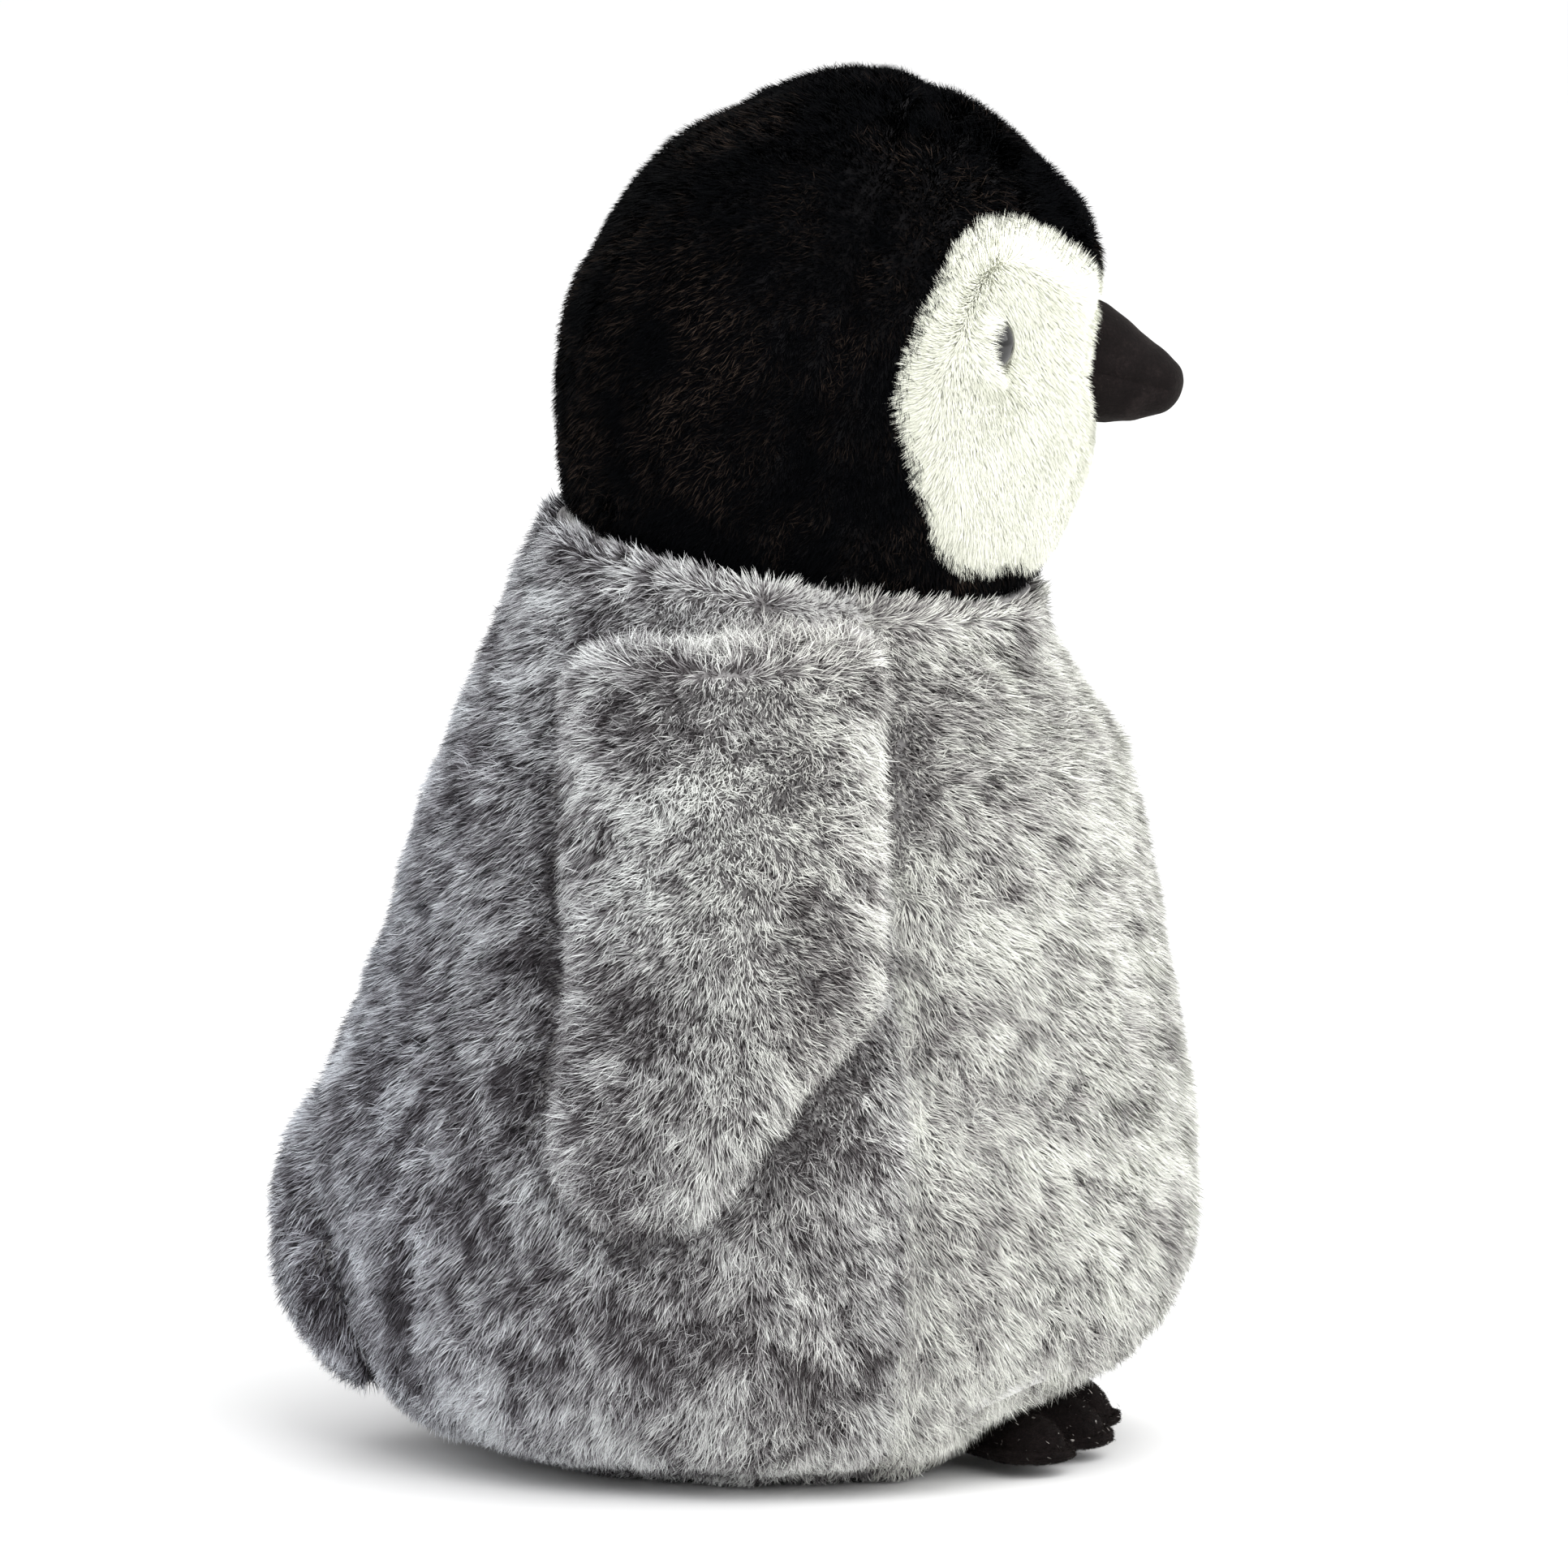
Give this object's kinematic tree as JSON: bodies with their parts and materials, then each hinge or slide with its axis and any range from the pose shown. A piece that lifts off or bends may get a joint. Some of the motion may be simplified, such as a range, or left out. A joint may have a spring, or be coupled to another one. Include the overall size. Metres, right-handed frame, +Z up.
{
  "type": "plush penguin",
  "caption": "Standing plush penguin chick with a turning head, two flippers that lift on sewn shoulder seams, felt beak and feet, and a flat weighted base.",
  "frame": {"origin": "middle of the flat base, on the surface that the toy stands on", "axes": "+Z up along the body's axis, -Y the way the penguin faces, +X towards its left side"},
  "size_m": [0.2128, 0.204, 0.305],
  "materials": {
    "grey_plush": "long mottled grey faux fur, 8 mm pile",
    "pale_plush": "long mottled pale grey faux fur, 8 mm pile",
    "black_plush": "dense black plush, 4 mm pile",
    "white_plush": "dense ivory white plush, 5 mm pile",
    "dark_felt": "brown-black brushed suede felt",
    "fibre": "loose white polyester fibre",
    "pouch_cloth": "plain woven cotton",
    "pellets": "loose plastic pellets",
    "eye_black": "polished black",
    "washer": "white moulded"
  },
  "bodies": {
    "torso": {"belly_panel": "pale_plush", "back_panel_left": "grey_plush", "back_panel_right": "grey_plush", "base_panel": "grey_plush", "body_stuffing": "fibre", "bean_pouch": "pouch_cloth", "bean_pellets": "pellets", "tail_upper": "grey_plush", "tail_lower": "grey_plush", "tail_stuffing": "fibre", "foot_upper_left": "dark_felt", "foot_sole_left": "dark_felt", "foot_stuffing_left": "fibre", "foot_upper_right": "dark_felt", "foot_sole_right": "dark_felt", "foot_stuffing_right": "fibre"},
    "head": {"head_front": "black_plush", "head_back_left": "black_plush", "head_back_right": "black_plush", "face_left": "white_plush", "face_right": "white_plush", "head_stuffing": "fibre", "beak_upper": "dark_felt", "beak_lower": "dark_felt", "beak_stuffing": "fibre", "eye_left": "eye_black", "eye_washer_left": "washer", "eye_right": "eye_black", "eye_washer_right": "washer"},
    "flipper_left": {"flipper_outer_left": "grey_plush", "flipper_inner_left": "grey_plush", "flipper_wadding_left": "fibre"},
    "flipper_right": {"flipper_outer_right": "grey_plush", "flipper_inner_right": "grey_plush", "flipper_wadding_right": "fibre"}
  },
  "joints": [
    {"name": "head_turn", "type": "hinge", "parent": "torso", "child": "head", "pos_m": [0, -0.0043, 0.1987], "axis": [0, -0.1616, 0.9869], "range_deg": [-25, 25], "stiffness_Nm_per_rad": 0.05},
    {"name": "flipper_left_lift", "type": "hinge", "parent": "torso", "child": "flipper_left", "pos_m": [0.0592, 0, 0.189], "axis": [0, -1, 0], "range_deg": [0, 90]},
    {"name": "flipper_right_lift", "type": "hinge", "parent": "torso", "child": "flipper_right", "pos_m": [-0.0592, 0, 0.189], "axis": [0, 1, 0], "range_deg": [0, 90]}
  ]
}
